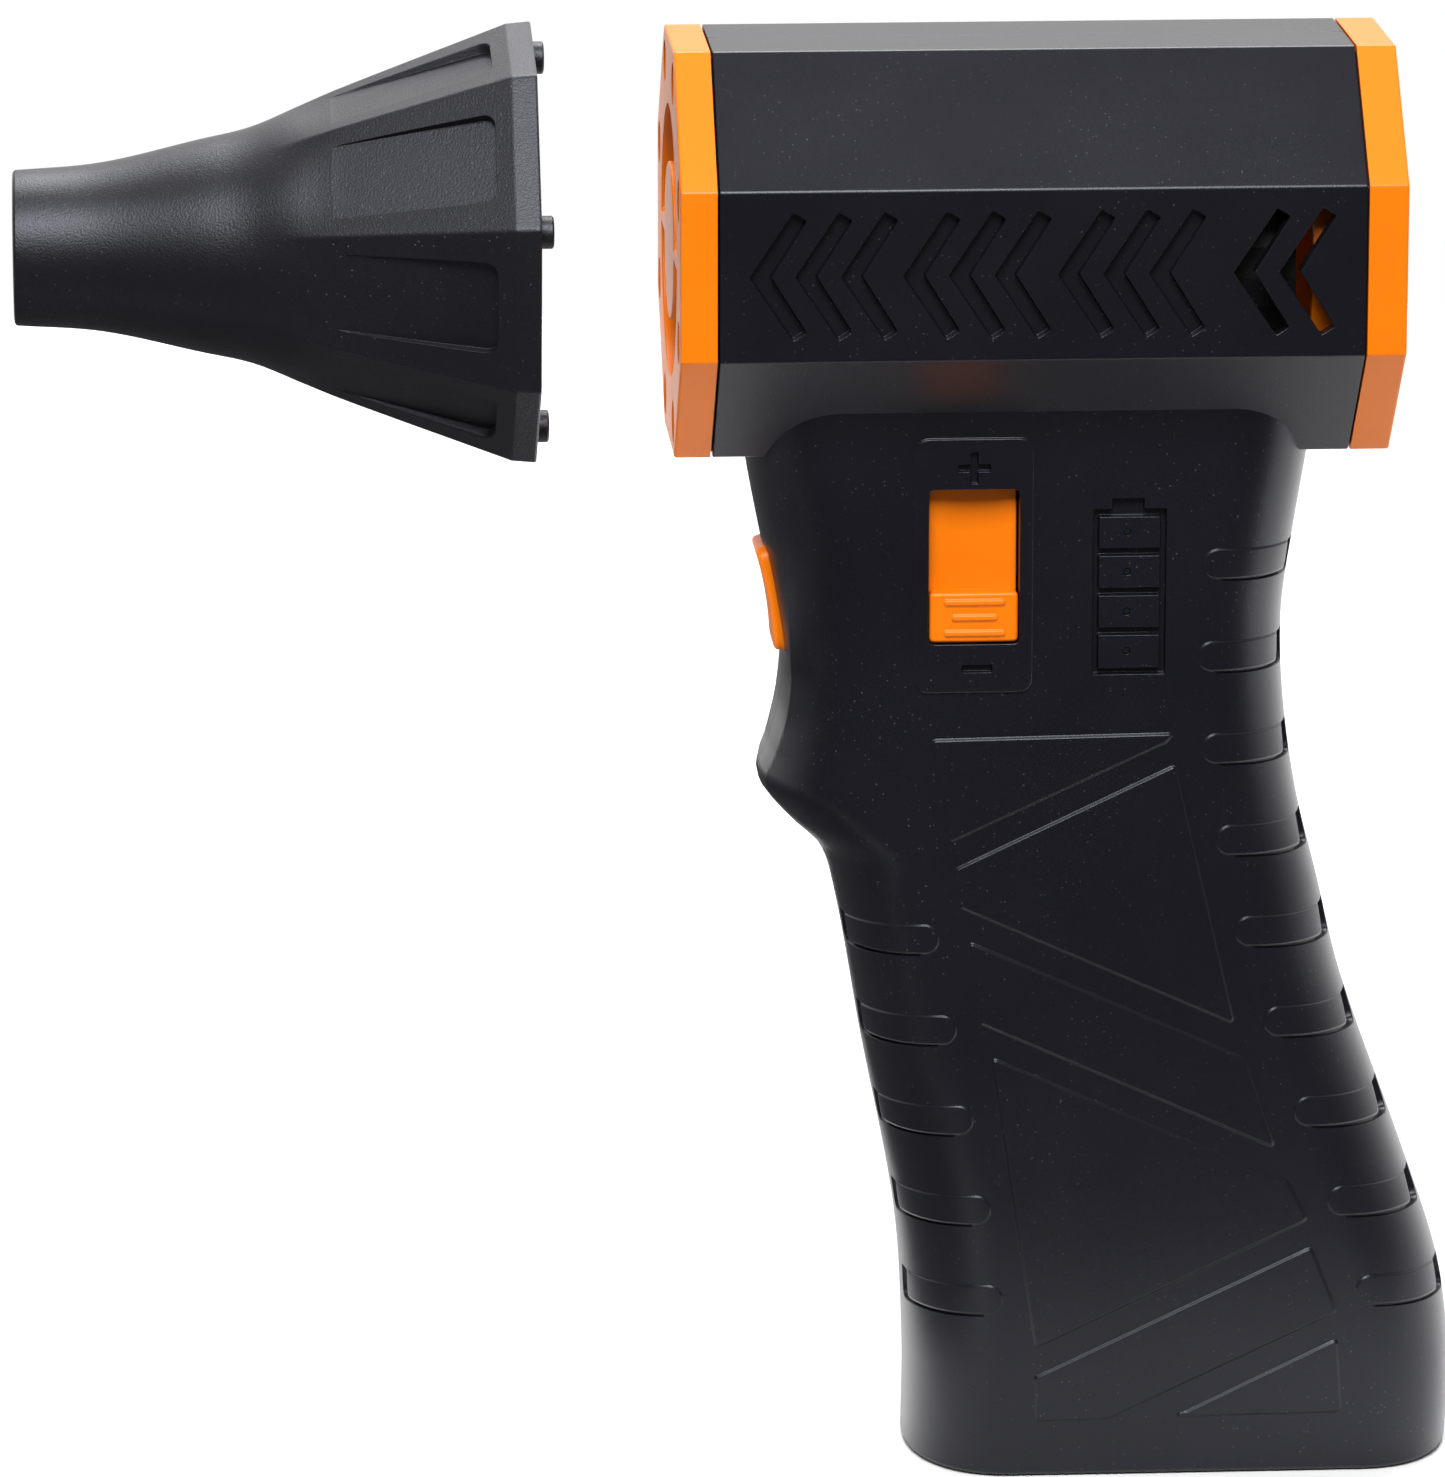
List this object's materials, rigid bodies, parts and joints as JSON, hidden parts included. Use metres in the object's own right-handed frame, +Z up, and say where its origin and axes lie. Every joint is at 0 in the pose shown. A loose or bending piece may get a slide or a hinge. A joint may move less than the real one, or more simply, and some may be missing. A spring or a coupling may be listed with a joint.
{
  "type": "handheld turbo blower",
  "caption": "Handheld cordless turbo blower: octagonal ducted-fan barrel on a pistol grip, with a slide-on concentrator nozzle, power button and speed slider.",
  "frame": {"origin": "middle of the grip's flat base, in the joint plane of the two casing halves", "axes": "+Z up out of the base, -X the way the air blows, -Y the left side with the speed slider"},
  "size_m": [0.1923, 0.0568, 0.1943],
  "materials": {
    "black_abs": "fine moulded texture, satin",
    "orange_abs": "fine moulded texture, satin",
    "nozzle_nylon": "coarse grain, satin",
    "duct_nylon": "glass-filled, dull",
    "black_steel": "black oxide",
    "bright_steel": "plated",
    "magnet": "nickel-plated magnet",
    "copper_wire": "enamelled copper",
    "rubber": "matt",
    "circuit_board": "solder mask",
    "moulded_component": "moulded epoxy",
    "cell": "shrink-wrapped can",
    "insulating_card": "fibre paper",
    "clear_acrylic": "frosted clear",
    "led": "clear lens",
    "red_wire": "silicone sleeve",
    "black_wire": "silicone sleeve",
    "yellow_wire": "silicone sleeve",
    "blue_wire": "silicone sleeve"
  },
  "bodies": {
    "casing": {"left_shell": "black_abs", "right_shell": "black_abs", "shell_screw_1": "black_steel", "shell_screw_2": "black_steel", "shell_screw_3": "black_steel", "shell_screw_4": "black_steel", "shell_screw_5": "black_steel", "front_ring": "orange_abs", "rear_ring": "orange_abs", "intake_grille": "black_abs", "air_duct": "duct_nylon", "tail_cone": "duct_nylon", "front_gasket": "rubber", "rear_gasket": "rubber", "motor_base": "bright_steel", "front_bearing": "bright_steel", "rear_bearing": "bright_steel", "stator_core": "black_steel", "winding_1": "copper_wire", "winding_2": "copper_wire", "winding_3": "copper_wire", "winding_4": "copper_wire", "winding_5": "copper_wire", "winding_6": "copper_wire", "power_switch": "moulded_component", "slide_potentiometer": "moulded_component", "control_board": "circuit_board", "capacitor": "moulded_component", "motor_driver": "moulded_component", "light_guide": "clear_acrylic", "charge_led_1": "led", "charge_led_2": "led", "charge_led_3": "led", "charge_led_4": "led", "usb_socket": "bright_steel", "battery_cell_1": "cell", "battery_cell_2": "cell", "battery_cell_3": "cell", "battery_cell_4": "cell", "nickel_link": "bright_steel", "positive_tab": "bright_steel", "negative_tab": "bright_steel", "lower_cell_plate": "insulating_card", "upper_cell_plate": "insulating_card", "motor_lead_1": "red_wire", "motor_lead_2": "yellow_wire", "motor_lead_3": "blue_wire", "positive_lead": "red_wire", "negative_lead": "black_wire"},
    "nozzle_carriage": {"nozzle_gasket": "rubber"},
    "nozzle": {"nozzle": "nozzle_nylon"},
    "speed_slider": {"speed_slider": "orange_abs", "pot_lever": "bright_steel"},
    "power_button": {"power_button": "orange_abs", "switch_plunger": "moulded_component"},
    "rotor": {"motor_shaft": "bright_steel", "motor_bell": "black_steel", "magnet_ring": "magnet", "impeller": "duct_nylon", "impeller_nut": "bright_steel"}
  },
  "joints": [
    {"name": "nozzle_pull", "type": "slide", "parent": "casing", "child": "nozzle_carriage", "axis": [1, 0, 0], "range_m": [0, 0.0176]},
    {"name": "nozzle_turn", "type": "hinge", "parent": "nozzle_carriage", "child": "nozzle", "pos_m": [-0.12, 0, 0.1659], "axis": [-1, 0, 0], "range_deg": [0, 9]},
    {"name": "speed_slide", "type": "slide", "parent": "casing", "child": "speed_slider", "axis": [0, 0, 1], "range_m": [0, 0.0132]},
    {"name": "power_press", "type": "slide", "parent": "casing", "child": "power_button", "axis": [0.9827, 0, 0.1851], "range_m": [0, 0.0009], "stiffness_N_per_m": 800},
    {"name": "fan_spin", "type": "hinge", "parent": "casing", "child": "rotor", "pos_m": [0, 0, 0.1659], "axis": [1, 0, 0], "continuous": true}
  ],
  "couplings": [
    {"joint": "nozzle_turn", "follows": "nozzle_pull", "rad_per_m": 8.925}
  ]
}
